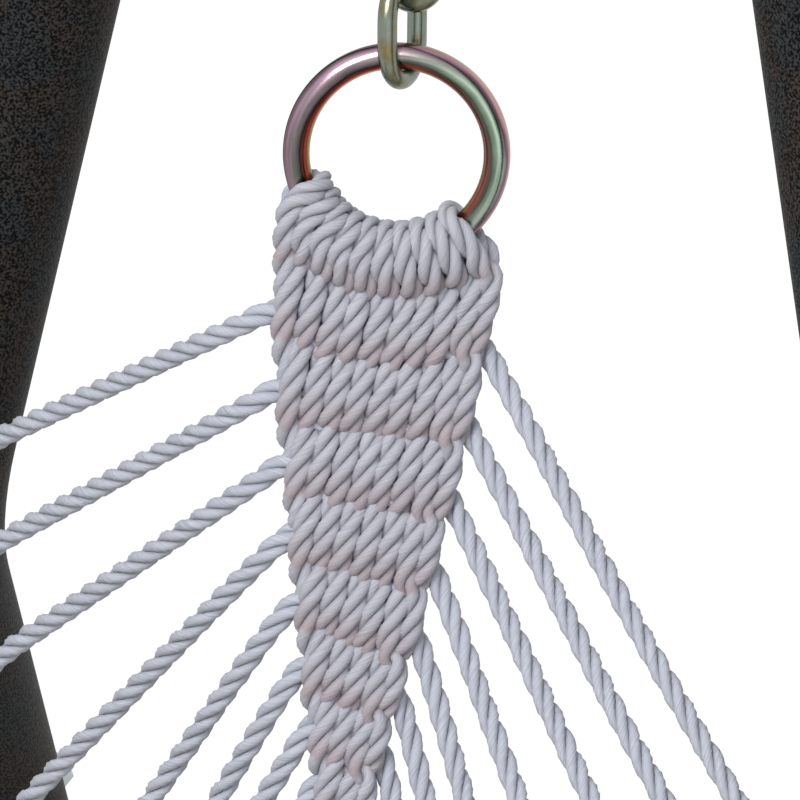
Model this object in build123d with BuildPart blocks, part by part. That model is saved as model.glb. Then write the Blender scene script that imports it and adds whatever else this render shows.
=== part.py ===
from math import asin, cos, degrees, radians, sin, sqrt, tan
import os

from build123d import *

os.makedirs("parts", exist_ok=True)

# Hammock on a steel stand. X runs along the hammock, Y across it, Z up, origin on the floor
# under the middle. The front end is at +X; the back end is the same end turned half round.
# Lengths in millimetres, angles in degrees.

# Running clearances
seat_gap = 0.3
slip_gap = 0.2

# Stand tube, hoops and legs
tube_d = 42.0
tube_wall = 2.0
hoop_bend = 104.0
hoop_half_angle = 14.0
hoop_slope = 54.0
hoop_to_knee = 422.0
knee_bend = 90.0
leg_joint_drop = 190.0
foot_half_width = 500.0
floor_bend = 110.0
rail_half_length = 800.0
spigot_length = 80.0
shoulder = 4.0

# Cross bars, braces and feet
cross_bar_d = 32.0
cross_bar_inset = 250.0
brace_d = 25.0
brace_wall = 1.6
brace_height = 430.0
brace_run = 330.0
foot_length = 70.0
foot_width = 48.0
foot_height = 14.0
foot_inset = 165.0

# Bolts of the sleeved joints and of the hooks
bolt_d = 8.0
bolt_hole_d = 8.6
bolt_head = 5.5
bolt_tail = 9.0
hex_across_flats = 13.0
nut_height = 6.5
washer_d = 22.0
washer_thickness = 2.0

# Hook bolts
swing_height = 1280.0
hook_wire = 8.0
hook_bend = 12.0
hook_tip_angle = 60.0
hook_neck_angle = 130.0
hook_reach = 57.0

# Chain, ring and woven clew
link_wire = 5.0
link_inner_length = 21.0
link_inner_width = 10.0
link_count = 9
end_link_twist = 15.0
ring_od = 59.0
ring_wire = 7.0
ring_twist = 42.0
clew_rows = 10
clew_first_row = 52.0
clew_row_pitch = 20.6
clew_row_shrink = 0.92
clew_half_width = 27.5
clew_row_taper = 3.1
clew_tip_half_width = 5.5
clew_thickness = 15.0
wrap_first_angle = 205.0
wrap_last_angle = 322.0

# Ropes and spreader bars
rope_d = 7.0
left_exit_rise = 8.0
right_exit_rise = 0.5
rope_stub = 8.0
rope_stub_step = 3.0
rope_settle = 90.0
settle_share = 0.3
rope_spread = 12.0
spread_ropes = 7
fan_slope = 50.0
fan_length = 620.0
hole_count = 20
hole_pitch = 65.0
bar_x = 1000.0
bar_width = 48.0
bar_thickness = 28.0
bar_overhang = 45.0
bar_slope = 34.0
bar_mouth = 16.0

# Bed
hem_run = 50.0
dowel_d = 16.0
hem_thickness = 3.0
canvas_thickness = 3.0
bed_sag = 170.0
bed_end_margin = 22.0
bed_waist = 110.0

# Sizes that follow from the ones above
tube_r = tube_d / 2
bore_r = tube_r - tube_wall
rail_z = foot_height + tube_r
ring_r = (ring_od - ring_wire) / 2
link_pitch = link_inner_length - seat_gap
first_link_seat = ring_r - ring_wire / 2 - seat_gap
last_link_top = first_link_seat + link_inner_length + link_pitch * (link_count - 1)
ring_to_eye = last_link_top - seat_gap - hook_wire / 2 + hook_bend
hole_span = hole_pitch * (hole_count - 1) / 2
rope_hole_d = rope_d + 2 * seat_gap
row_lap = rope_d / 8


def downhill(slope):
    """Unit vector that falls towards the middle of the hammock at a slope."""
    return Vector(-cos(radians(slope)), 0, -sin(radians(slope)))


def end_plane(origin, slope, twist=0.0):
    """Plane across the front end: x to -Y, y back up the slope, z up; twist turns it about y."""
    side = Vector(0, -1, 0)
    rise = Vector(-sin(radians(slope)), 0, cos(radians(slope)))
    turn = radians(twist)
    return Plane(
        origin=origin,
        x_dir=side * cos(turn) - rise * sin(turn),
        z_dir=rise * cos(turn) + side * sin(turn),
    )


def corner_radius(before, corner, after, reach):
    """Radius of the arc that turns a path at a corner within a reach each side."""
    turn = (corner - before).get_angle(after - corner)
    return reach / tan(radians(turn / 2))


def save(shape, name):
    """Label one node and write it."""
    shape.label = name
    export_step(shape, f"parts/{name}.step")


def save_ends(shape, name):
    """Write the front piece and the back piece, which is the same turned half round."""
    save(shape, f"{name}_front")
    save(shape.rotate(Axis.Z, 180), f"{name}_back")


def save_quarters(shape, name):
    """Write a front left piece and the three that match it."""
    other_side = mirror(shape, about=Plane.XZ)
    save(shape, f"{name}_front_left")
    save(other_side, f"{name}_front_right")
    save(other_side.rotate(Axis.Z, 180), f"{name}_back_left")
    save(shape.rotate(Axis.Z, 180), f"{name}_back_right")


# Main points of the front end
bar_level = swing_height - (fan_length + ring_to_eye) * sin(radians(fan_slope))
bar_centre = Vector(bar_x, 0, bar_level)
ring_centre = bar_centre - downhill(fan_slope) * fan_length
eye = ring_centre - downhill(fan_slope) * ring_to_eye
arch_top = eye - downhill(fan_slope) * hook_reach
hoop_peak = arch_top - downhill(hoop_slope) * hoop_bend * (1 / sin(radians(hoop_half_angle)) - 1)
knee_drop = (arch_top - hoop_peak).length + hoop_to_knee
knee = hoop_peak + downhill(hoop_slope) * knee_drop
knee += Vector(0, knee_drop * tan(radians(hoop_half_angle)), 0)
foot_corner = Vector(knee.X, foot_half_width, rail_z)
leg_line = (foot_corner - knee).normalized()
leg_joint = knee + leg_line * leg_joint_drop
rail_joint = Vector(rail_half_length, foot_half_width, rail_z)

# Bolts cross the two sleeved joints of each leg, half way along the spigot
leg_bolt = leg_joint - leg_line * (spigot_length / 2)
rail_bolt = rail_joint - Vector(spigot_length / 2, 0, 0)
leg_bolt_plane = Plane(origin=leg_bolt, x_dir=leg_line, z_dir=(1, 0, 0))
rail_bolt_plane = Plane(origin=rail_bolt, x_dir=(1, 0, 0), z_dir=(0, 1, 0))


def mirrored(point):
    """The same point on the other side of the middle plane."""
    return Vector(point.X, -point.Y, point.Z)


# Hoop: one tube bent to an arch over the hook, with a knee in each leg
with BuildPart() as hoop:
    with BuildLine() as hoop_line:
        FilletPolyline(
            leg_joint,
            knee,
            hoop_peak,
            mirrored(knee),
            mirrored(leg_joint),
            radius=[knee_bend, hoop_bend, knee_bend],
        )
    with BuildSketch(Plane(origin=hoop_line.line @ 0, z_dir=hoop_line.line % 0)):
        Circle(tube_r)
        Circle(bore_r, mode=Mode.SUBTRACT)
    sweep()
    with BuildSketch(Plane(origin=arch_top, z_dir=downhill(fan_slope))):
        Circle(bolt_hole_d / 2)
    extrude(amount=tube_d, both=True, mode=Mode.SUBTRACT)
    with BuildSketch(leg_bolt_plane):
        Circle(bolt_hole_d / 2)
    extrude(amount=tube_d, both=True, mode=Mode.SUBTRACT)
    with BuildSketch(Plane(origin=mirrored(leg_bolt), z_dir=(1, 0, 0))):
        Circle(bolt_hole_d / 2)
    extrude(amount=tube_d, both=True, mode=Mode.SUBTRACT)
save_ends(hoop.part, "hoop")

# Lower leg: spigot into the hoop, bend at the floor, stub of the base rail with its own spigot
with BuildPart() as leg:
    with BuildLine():
        FilletPolyline(leg_joint, foot_corner, rail_joint, radius=floor_bend)
    with BuildSketch(Plane(origin=leg_joint, z_dir=leg_line)):
        Circle(tube_r)
        Circle(bore_r, mode=Mode.SUBTRACT)
    sweep()
    for end, way in ((leg_joint, -leg_line), (rail_joint, Vector(-1, 0, 0))):
        with BuildSketch(Plane(origin=end, z_dir=-way)):
            Circle(tube_r)
            Circle(bore_r - slip_gap - tube_wall, mode=Mode.SUBTRACT)
        extrude(amount=shoulder)
        with BuildSketch(Plane(origin=end, z_dir=way)):
            Circle(bore_r - slip_gap)
            Circle(bore_r - slip_gap - tube_wall, mode=Mode.SUBTRACT)
        extrude(amount=spigot_length)
    for plane in (leg_bolt_plane, rail_bolt_plane):
        with BuildSketch(plane):
            Circle(bolt_hole_d / 2)
        extrude(amount=tube_d, both=True, mode=Mode.SUBTRACT)
save_quarters(leg.part, "leg")

# Centre rails, bolted over the spigots of the leg stubs
with BuildPart() as rail:
    with BuildSketch(Plane(origin=rail_joint, z_dir=(-1, 0, 0))):
        Circle(tube_r)
        Circle(bore_r, mode=Mode.SUBTRACT)
    extrude(amount=2 * rail_half_length)
    for side in (1, -1):
        with BuildSketch(Plane(origin=(side * rail_bolt.X, foot_half_width, rail_z), z_dir=(0, 1, 0))):
            Circle(bolt_hole_d / 2)
        extrude(amount=tube_d, both=True, mode=Mode.SUBTRACT)
save(rail.part, "rail_left")
save(mirror(rail.part, about=Plane.XZ), "rail_right")

# Cross bar between the leg stubs, its ends coped to the round of the rails
cross_bar_x = foot_corner.X - cross_bar_inset
with BuildPart() as cross_bar:
    with BuildSketch(Plane(origin=(cross_bar_x, 0, rail_z), z_dir=(0, 1, 0))):
        Circle(cross_bar_d / 2)
        Circle(cross_bar_d / 2 - tube_wall, mode=Mode.SUBTRACT)
    extrude(amount=foot_half_width, both=True)
    with BuildSketch(Plane(origin=(cross_bar_x, 0, rail_z), x_dir=(0, 1, 0), z_dir=(1, 0, 0))):
        with Locations((foot_half_width, 0), (-foot_half_width, 0)):
            Circle(tube_r)
    extrude(amount=cross_bar_d, both=True, mode=Mode.SUBTRACT)
save_ends(cross_bar.part, "cross_bar")

# Brace from the leg down to its rail stub, coped to both
brace_top = foot_corner - leg_line * ((brace_height - rail_z) / -leg_line.Z)
brace_foot = foot_corner - Vector(floor_bend + brace_run, 0, 0)
brace_axis = (brace_foot - brace_top).normalized()
with BuildPart() as brace:
    with BuildSketch(Plane(origin=brace_top, z_dir=brace_axis)):
        Circle(brace_d / 2)
        Circle(brace_d / 2 - brace_wall, mode=Mode.SUBTRACT)
    extrude(amount=(brace_foot - brace_top).length)
    with BuildSketch(Plane(origin=brace_top, z_dir=leg_line)):
        Circle(tube_r)
    extrude(amount=tube_d * 2, both=True, mode=Mode.SUBTRACT)
    with BuildSketch(Plane(origin=brace_foot, z_dir=(1, 0, 0))):
        Circle(tube_r)
    extrude(amount=tube_d * 2, both=True, mode=Mode.SUBTRACT)
save_quarters(brace.part, "brace")

# Rubber foot with a saddle for the rail
with BuildPart() as foot:
    with BuildSketch(Plane(origin=(foot_corner.X - foot_inset, foot_half_width, 0))):
        RectangleRounded(foot_length, foot_width, foot_width / 5)
    extrude(amount=rail_z - tube_r / 4)
    with BuildSketch(Plane(origin=rail_joint, z_dir=(1, 0, 0))):
        Circle(tube_r)
    extrude(amount=2 * rail_half_length, mode=Mode.SUBTRACT)
save_quarters(foot.part, "foot")


def joint_planes():
    """The bolt planes of all the sleeved joints of the stand."""
    for side in (1, -1):
        for turn in (0, 180):
            for spot, way in ((leg_bolt, Vector(1, 0, 0)), (rail_bolt, Vector(0, 1, 0))):
                place = Vector(spot.X, side * spot.Y, spot.Z)
                face = Vector(way.X, side * way.Y, way.Z)
                yield Plane(
                    origin=place.rotate(Axis.Z, turn),
                    z_dir=face.rotate(Axis.Z, turn),
                )


# Bolts of the sleeved joints: hex head outside, nut inside, both against the tube
with BuildPart() as joint_bolts:
    for plane in joint_planes():
        with BuildSketch(plane.offset(-tube_r - bolt_tail)):
            Circle(bolt_d / 2)
        extrude(amount=tube_d + bolt_tail)
        with BuildSketch(plane.offset(tube_r)):
            RegularPolygon(hex_across_flats / 2, 6, major_radius=False)
        extrude(amount=bolt_head)
save(joint_bolts.part, "joint_bolts")

with BuildPart() as joint_nuts:
    for plane in joint_planes():
        with BuildSketch(plane.offset(-tube_r)):
            RegularPolygon(hex_across_flats / 2, 6, major_radius=False)
            Circle(bolt_d / 2 + slip_gap / 2, mode=Mode.SUBTRACT)
        extrude(amount=-nut_height)
save(joint_nuts.part, "joint_nuts")

# Hook bolt: round bar bent to an open eye under the arch, shank through the tube
eye_plane = end_plane(eye, fan_slope)
neck_bend = -hook_bend * cos(radians(hook_neck_angle)) / (1 + cos(radians(hook_neck_angle)))
hook_top = hook_reach + tube_r + washer_thickness + bolt_tail
with BuildPart() as hook:
    with BuildLine(eye_plane) as hook_path:
        curl = CenterArc((0, 0), hook_bend, hook_tip_angle, hook_neck_angle - 360 - hook_tip_angle)
        neck = JernArc(curl @ 1, curl % 1, neck_bend, 180 - hook_neck_angle)
        Line(neck @ 1, (0, hook_top))
    with BuildSketch(Plane(origin=hook_path.line @ 0, z_dir=hook_path.line % 0)):
        Circle(hook_wire / 2)
    sweep()
save_ends(hook.part, "hook")

# Nuts and washers that hold the hook bolt above and below the arch, whose underside is hollow
arch_inside = hoop_bend - tube_r
arch_hollow = arch_inside - sqrt(arch_inside**2 - (washer_d / 2) ** 2)
with BuildPart() as hook_nuts:
    for level, way in ((hook_reach + tube_r, 1), (hook_reach - tube_r - arch_hollow, -1)):
        seat = Plane(origin=eye - downhill(fan_slope) * level, z_dir=-downhill(fan_slope) * way)
        with BuildSketch(seat):
            Circle(washer_d / 2)
            Circle(hook_wire / 2 + slip_gap, mode=Mode.SUBTRACT)
        extrude(amount=washer_thickness)
        with BuildSketch(seat.offset(washer_thickness)):
            RegularPolygon(hex_across_flats / 2, 6, major_radius=False)
            Circle(hook_wire / 2 + slip_gap, mode=Mode.SUBTRACT)
        extrude(amount=nut_height)
save_ends(hook_nuts.part, "hook_nuts")


def link_plane(index):
    """Plane of a chain link, counted up from the ring; each is turned square to the last."""
    centre = first_link_seat + link_inner_length / 2 + index * link_pitch
    spare_twist = end_link_twist * (1 - index / (link_count - 1))
    origin = ring_centre - downhill(fan_slope) * centre
    return end_plane(origin, fan_slope, 90 * (index + 1) + spare_twist)


def bend_link(plane):
    """One oval link of round wire, in the plane given."""
    with BuildPart() as link:
        with BuildLine(plane):
            half_straight = (link_inner_length - link_inner_width) / 2
            bend = (link_inner_width + link_wire) / 2
            right = Line((bend, -half_straight), (bend, half_straight))
            CenterArc((0, half_straight), bend, 0, 180)
            Line((-bend, half_straight), (-bend, -half_straight))
            CenterArc((0, -half_straight), bend, 180, 180)
        with BuildSketch(Plane(origin=right @ 0, z_dir=right % 0)):
            Circle(link_wire / 2)
        sweep()
    return link.part


# Chain: the link round the ring, and the others up to the hook
save_ends(bend_link(link_plane(0)), "end_link")
save_ends(Compound([bend_link(link_plane(index)) for index in range(1, link_count)]), "chain")

# Ring
ring_plane = end_plane(ring_centre, fan_slope, ring_twist)
with BuildPart() as ring:
    with BuildSketch(Plane(origin=ring_plane.origin, x_dir=ring_plane.x_dir, z_dir=ring_plane.y_dir)):
        with Locations((ring_r, 0)):
            Circle(ring_wire / 2)
    revolve(axis=Axis(ring_plane.origin, ring_plane.z_dir))
save_ends(ring.part, "ring")


def row_foot(row):
    """Distance from the ring centre to the lower edge of a woven row, rows counted from 0."""
    return clew_first_row + clew_row_pitch * row - clew_row_shrink * row * (row - 1) / 2


def row_half_width(row):
    """Half the width of a woven row."""
    return max(clew_tip_half_width, clew_half_width - clew_row_taper * row)


# Clew: rope wraps round the lower part of the ring, then the woven rows, each narrower
wrap_r = ring_wire / 2 + rope_d
with BuildPart() as clew:
    wrap_turn = radians(wrap_first_angle)
    wrap_out = ring_plane.x_dir * cos(wrap_turn) + ring_plane.y_dir * sin(wrap_turn)
    wrap_along = ring_plane.y_dir * cos(wrap_turn) - ring_plane.x_dir * sin(wrap_turn)
    with BuildSketch(Plane(origin=ring_plane.origin, x_dir=wrap_out, z_dir=wrap_along)):
        with Locations((ring_r, 0)):
            Circle(wrap_r)
            Circle(ring_wire / 2 + seat_gap, mode=Mode.SUBTRACT)
    revolve(
        axis=Axis(ring_plane.origin, ring_plane.z_dir),
        revolution_arc=wrap_last_angle - wrap_first_angle,
    )
    for row in range(clew_rows):
        top = row_foot(row - 1) if row else ring_r + wrap_r / 2
        height = row_foot(row) - top
        row_plane = Plane(origin=ring_plane.origin, x_dir=ring_plane.y_dir, z_dir=ring_plane.x_dir)
        with BuildSketch(row_plane):
            with Locations((-top - height / 2, 0)):
                RectangleRounded(height + 2 * row_lap, clew_thickness, rope_d / 2)
        extrude(amount=row_half_width(row), both=True)
save_ends(clew.part, "clew")


fan_plane = end_plane(ring_centre, fan_slope)


def rope_points(side, index):
    """Route of one nettle rope from the clew through the bar to the hem; side 1 is left.

    The last pair leave the tip of the clew and the others its edges. Each is soon drawn back
    from the turned clew into the plane of the fan, and the upper left ones start out wider.
    """
    hole = bar_centre + Vector(0, side * (hole_span - index * hole_pitch), 0)
    inside = downhill(bar_slope) * (bar_thickness / 2 + bar_mouth)
    hem = hole + inside + downhill(bed_end_slope) * hem_run
    from_tip = clew_rows - 2 - index
    if from_tip < 0:
        beside = rope_d / 2 + seat_gap
        depth = row_foot(index) + row_lap + seat_gap
        end = Vector(-side * beside, -depth - rope_stub, 0)
    else:
        beside = row_half_width(index) + seat_gap
        depth = row_foot(index) - (left_exit_rise if side > 0 else right_exit_rise)
        stub = rope_stub + rope_stub_step * min(2, from_tip)
        end = Vector(-side * (beside + stub), -depth, 0)
    leave = ring_plane.from_local_coords(Vector(-side * beside, -depth, 0))
    turn = ring_plane.from_local_coords(end)
    spread = rope_spread * max(0, 1 - index / spread_ropes) if side > 0 else 0
    way = (hole - inside - turn).normalized().rotate(Axis((0, 0, 0), fan_plane.z_dir), -spread)
    out = fan_plane.to_local_coords(turn + way * rope_settle)
    settle = fan_plane.from_local_coords(Vector(out.X, out.Y, out.Z * settle_share))
    return [leave, turn, settle, hole - inside, hole + inside, hem]


# Bed profile: an arc that hangs between the two hems
hem_r = dowel_d / 2 + slip_gap + hem_thickness


def hem_centre_for(slope):
    """Centre of the front hem when the bed leaves it at a slope."""
    run = downhill(bar_slope) * (bar_thickness / 2 + bar_mouth) + downhill(slope) * (hem_run + hem_r + seat_gap)
    return bar_centre + run


bed_end_slope = 0.0
for _ in range(8):
    hem_centre = hem_centre_for(bed_end_slope)
    bed_radius = (hem_centre.X**2 + bed_sag**2) / (2 * bed_sag)
    bed_end_slope = degrees(asin(hem_centre.X / bed_radius))

# Nettle ropes, ten to each side of the front clew, and the same at the back
for side, side_name in ((1, "left"), (-1, "right")):
    with BuildPart() as nettles:
        for index in range(hole_count // 2):
            route = rope_points(side, index)
            reaches = [rope_stub * 0.7, rope_settle / 3, bar_mouth * 0.9, bar_mouth * 0.9]
            radii = [corner_radius(*route[i : i + 3], reaches[i]) for i in range(4)]
            with BuildLine() as rope_line:
                FilletPolyline(*route, radius=radii)
            with BuildSketch(Plane(origin=rope_line.line @ 0, z_dir=rope_line.line % 0)):
                RegularPolygon(rope_d / 2, 8)
            sweep(path=rope_line.line)
    save_ends(nettles.part, f"nettles_{side_name}")

# Spreader bar: planed hardwood with round edges and ends and a row of rope holes
bar_length = 2 * (hole_span + bar_overhang)
with BuildPart() as bar:
    with BuildSketch(Plane(origin=bar_centre, x_dir=(0, 1, 0), z_dir=downhill(bar_slope))):
        RectangleRounded(bar_length, bar_width, bar_width / 3)
    extrude(amount=bar_thickness / 2, both=True)
    fillet(bar.edges().filter_by(GeomType.LINE).filter_by(Axis.Y), radius=bar_thickness / 4)
    with BuildSketch(Plane(origin=bar_centre, x_dir=(0, 1, 0), z_dir=downhill(bar_slope))):
        with GridLocations(hole_pitch, 0, hole_count, 1):
            Circle(rope_hole_d / 2)
    extrude(amount=bar_thickness, both=True, mode=Mode.SUBTRACT)
save_ends(bar.part, "spreader_bar")

# Dowel in the hem of the bed
hem_length = 2 * (hole_span + bed_end_margin)
with BuildPart() as dowel:
    with BuildSketch(Plane(origin=hem_centre, z_dir=(0, 1, 0))):
        Circle(dowel_d / 2)
    extrude(amount=hem_length / 2, both=True)
save_ends(dowel.part, "hem_dowel")

# Canvas bed: a thin arc between two round hems, drawn in along its sides
with BuildPart() as bed:
    with BuildSketch(Plane.XZ):
        with BuildLine():
            low = bed_radius + canvas_thickness / 2
            high = bed_radius - canvas_thickness / 2
            middle_z = hem_centre.Z - bed_sag + bed_radius
            lean = degrees(asin((hem_centre.X - hem_r + hem_thickness / 2) / bed_radius))
            under = CenterArc((0, middle_z), low, -90 - lean, 2 * lean)
            upper = CenterArc((0, middle_z), high, -90 - lean, 2 * lean)
            Line(under @ 0, upper @ 0)
            Line(under @ 1, upper @ 1)
        make_face()
    extrude(amount=hem_length / 2, both=True)
    with BuildSketch(Plane.XY):
        with BuildLine():
            half = hem_length / 2
            left = ThreePointArc((-hem_centre.X, half), (0, half - bed_waist), (hem_centre.X, half))
            right = ThreePointArc((-hem_centre.X, -half), (0, bed_waist - half), (hem_centre.X, -half))
            Line(left @ 0, right @ 0)
            Line(left @ 1, right @ 1)
        make_face()
    extrude(amount=swing_height, mode=Mode.INTERSECT)
    for end in (1, -1):
        with BuildSketch(Plane(origin=(end * hem_centre.X, 0, hem_centre.Z), z_dir=(0, 1, 0))):
            Circle(hem_r)
        extrude(amount=half, both=True)
    for end in (1, -1):
        with BuildSketch(Plane(origin=(end * hem_centre.X, 0, hem_centre.Z), z_dir=(0, 1, 0))):
            Circle(dowel_d / 2 + slip_gap)
        extrude(amount=half, both=True, mode=Mode.SUBTRACT)
save(bed.part, "bed_canvas")

print("swing axis height", round(eye.Z, 1), "at x", round(eye.X, 1))
print("ring centre", ring_centre, "bar", bar_centre, "hem", hem_centre)
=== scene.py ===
import math
import random

import bpy
import numpy as np
from mathutils import Matrix, Quaternion, Vector, noise


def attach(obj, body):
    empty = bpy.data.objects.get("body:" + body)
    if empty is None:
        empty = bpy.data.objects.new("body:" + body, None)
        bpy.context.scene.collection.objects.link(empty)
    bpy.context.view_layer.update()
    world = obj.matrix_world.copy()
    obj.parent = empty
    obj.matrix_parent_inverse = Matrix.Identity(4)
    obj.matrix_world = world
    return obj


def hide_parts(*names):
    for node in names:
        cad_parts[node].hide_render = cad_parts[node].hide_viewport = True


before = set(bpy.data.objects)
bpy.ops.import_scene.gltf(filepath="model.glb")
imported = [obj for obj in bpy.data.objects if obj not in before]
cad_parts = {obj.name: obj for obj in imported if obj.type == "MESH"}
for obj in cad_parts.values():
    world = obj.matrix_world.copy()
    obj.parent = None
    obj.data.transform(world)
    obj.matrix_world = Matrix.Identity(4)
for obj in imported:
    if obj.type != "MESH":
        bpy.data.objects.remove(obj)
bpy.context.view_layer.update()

# Stand tubes
# Round steel tube, 42 mm, bent cold into two hoops and four legs, with straight rails, thinner
# cross bars and braces, all powder coated with a charcoal hammered finish.
tube_kinds = ("hoop", "leg", "rail", "brace", "cross")
coat_dark = "#080808"
coat_warm = "#413a35"
coat_cool = "#373b3d"
grain_size = 0.0007
patch_size = 0.012


def linear(code):
    """Scene-linear colour of an sRGB hex code."""
    parts = [int(code[i : i + 2], 16) / 255 for i in (1, 3, 5)]
    return tuple(p / 12.92 if p <= 0.04045 else ((p + 0.055) / 1.055) ** 2.4 for p in parts) + (1.0,)


def add(tree, kind, inputs=None, **settings):
    """A new node in a tree; an input is a value or the socket that feeds it."""
    node = tree.nodes.new(kind)
    for name, value in settings.items():
        setattr(node, name, value)
    for name, value in (inputs or {}).items():
        if isinstance(value, bpy.types.NodeSocket):
            tree.links.new(value, node.inputs[name])
        else:
            node.inputs[name].default_value = value
    return node


def new_finish(name):
    """A new material with its node tree and its shader."""
    finish = bpy.data.materials.new(name)
    finish.use_nodes = True
    return finish, finish.node_tree, finish.node_tree.nodes["Principled BSDF"]


def dress(node, finish):
    """Gives a solid of the frame its material."""
    node.data.materials.clear()
    node.data.materials.append(finish)


# Hammered powder coat: matt and nearly black, with a fine grain of dark dimples in patches that
# lean to brown or to blue.
coat, tree, shader = new_finish("hammered_powder_coat")
place = add(tree, "ShaderNodeTexCoord").outputs["Object"]
grain = add(tree, "ShaderNodeTexNoise", {"Vector": place, "Scale": 1 / grain_size, "Detail": 0.0})
grain_level = add(
    tree,
    "ShaderNodeMapRange",
    {"Value": grain.outputs["Fac"], "From Min": 0.36, "From Max": 0.66},
)
patch = add(tree, "ShaderNodeTexNoise", {"Vector": place, "Scale": 1 / patch_size, "Detail": 1.0})
patch_level = add(
    tree,
    "ShaderNodeMapRange",
    {"Value": patch.outputs["Fac"], "From Min": 0.36, "From Max": 0.64},
)
raised = add(
    tree,
    "ShaderNodeMix",
    {0: patch_level.outputs["Result"], 6: linear(coat_warm), 7: linear(coat_cool)},
    data_type="RGBA",
)
coat_tint = add(
    tree,
    "ShaderNodeMix",
    {0: grain_level.outputs["Result"], 6: linear(coat_dark), 7: raised.outputs[2]},
    data_type="RGBA",
)
bump = add(
    tree,
    "ShaderNodeBump",
    {"Height": grain.outputs["Fac"], "Strength": 0.5, "Distance": 0.0004},
)
tree.links.new(coat_tint.outputs[2], shader.inputs["Base Color"])
tree.links.new(bump.outputs["Normal"], shader.inputs["Normal"])
shader.inputs["Roughness"].default_value = 0.55
shader.inputs["Specular IOR Level"].default_value = 0.06

for name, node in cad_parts.items():
    if name.split("_")[0] in tube_kinds and not name.startswith("rails"):
        dress(node, coat)
        node.data.shade_smooth()

# Feet
# Black rubber blocks under the rails, moulded with a saddle that takes the tube. They are pushed
# on from below and keep the coat off the ground.
rubber_tint = "#1b1b1c"
rubber_grain = 1 / 900

# Moulded rubber: black and dull, with a fine even grain from the mould.
rubber, tree, shader = new_finish("moulded_rubber")
place = add(tree, "ShaderNodeTexCoord").outputs["Object"]
grain = add(tree, "ShaderNodeTexNoise", {"Vector": place, "Scale": 1 / rubber_grain, "Detail": 2.0})
bump = add(
    tree,
    "ShaderNodeBump",
    {"Height": grain.outputs["Fac"], "Strength": 0.25, "Distance": 0.0003},
)
tree.links.new(bump.outputs["Normal"], shader.inputs["Normal"])
shader.inputs["Base Color"].default_value = linear(rubber_tint)
shader.inputs["Roughness"].default_value = 0.75
for end in ("front", "back"):
    for side in ("left", "right"):
        dress(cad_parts[f"foot_{end}_{side}"], rubber)

# Hooks and their nuts
# Round steel bar bent to an open eye, threaded at the top, held through the arch of the hoop by
# two nuts and washers. Bright zinc plate.
zinc_dull = "#9aa0a2"
zinc_bright = "#c9cdcd"
zinc_cloud = 0.00625

# Bright zinc plate: pale metal, cloudy in tone and gloss.
zinc, tree, shader = new_finish("bright_zinc_plate")
place = add(tree, "ShaderNodeTexCoord").outputs["Object"]
cloud = add(tree, "ShaderNodeTexNoise", {"Vector": place, "Scale": 1 / zinc_cloud, "Detail": 4.0})
zinc_tint = add(
    tree,
    "ShaderNodeMix",
    {0: cloud.outputs["Fac"], 6: linear(zinc_dull), 7: linear(zinc_bright)},
    data_type="RGBA",
)
zinc_rough = add(
    tree,
    "ShaderNodeMapRange",
    {"Value": cloud.outputs["Fac"], "To Min": 0.25, "To Max": 0.45},
)
tree.links.new(zinc_tint.outputs[2], shader.inputs["Base Color"])
tree.links.new(zinc_rough.outputs["Result"], shader.inputs["Roughness"])
shader.inputs["Metallic"].default_value = 1.0
for end in ("front", "back"):
    for name in (f"hook_{end}", f"hook_nuts_{end}"):
        dress(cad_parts[name], zinc)

# Joint bolts
# Eight hexagon bolts with chamfered heads, one through each sleeved joint, and their nuts inside
# the stand. Bright zinc, pulled up against the tube.
hex_sides = 6
hex_flat = 0.0065
crown_share = 0.87
shank_sides = 24
bolt_sizes = {
    "Grip": 0.021,
    "Shank": 0.004,
    "Tail": 0.009,
    "Corner": hex_flat / math.cos(math.pi / hex_sides),
    "Head": 0.0055,
    "Nut": 0.0065,
    "Chamfer": 0.0009,
}
leg_bolt = Vector((1.3263, 0.2336, 0.8399))
rail_bolt = Vector((0.760, 0.500, 0.035))
half_turn = Matrix.Rotation(math.pi, 4, "Z")


def new_tree(name, sizes):
    """A node tree with a named input for each size, and those inputs inside it."""
    kinds = {int: "NodeSocketInt", float: "NodeSocketFloat"}
    tree = bpy.data.node_groups.new(name, "GeometryNodeTree")
    for way in ("INPUT", "OUTPUT"):
        tree.interface.new_socket("Geometry", in_out=way, socket_type="NodeSocketGeometry")
    for size, value in sizes.items():
        kind = kinds.get(type(value), "NodeSocketObject")
        tree.interface.new_socket(size, in_out="INPUT", socket_type=kind)
    return tree, add(tree, "NodeGroupInput").outputs


def end_tree(tree, placed, finish):
    """Makes plain mesh of a tree's instances, gives it its material and ends the tree."""
    whole = add(tree, "GeometryNodeRealizeInstances", {"Geometry": placed.outputs["Instances"]})
    dressed = add(tree, "GeometryNodeSetMaterial", {"Geometry": whole.outputs[0], "Material": finish})
    add(tree, "NodeGroupOutput", {"Geometry": dressed.outputs["Geometry"]})


def show(name, data):
    """A new object of the scene."""
    shown = bpy.data.objects.new(name, data)
    bpy.context.scene.collection.objects.link(shown)
    return shown


def plain(shown):
    """Plain mesh of an object as its modifiers or its spline make it; the object goes."""
    bpy.context.view_layer.update()
    graph = bpy.context.evaluated_depsgraph_get()
    made = bpy.data.meshes.new_from_object(shown.evaluated_get(graph))
    bpy.data.objects.remove(shown)
    return made


def grow(source, tree, sizes):
    """Plain mesh that a node tree makes of a source mesh with its inputs set."""
    maker = show("maker", source)
    modifier = maker.modifiers.new("maker", "NODES")
    modifier.node_group = tree
    for item in tree.interface.items_tree:
        if item.in_out == "INPUT" and item.name in sizes:
            modifier[item.identifier] = sizes[item.name]
    return plain(maker)


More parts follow.
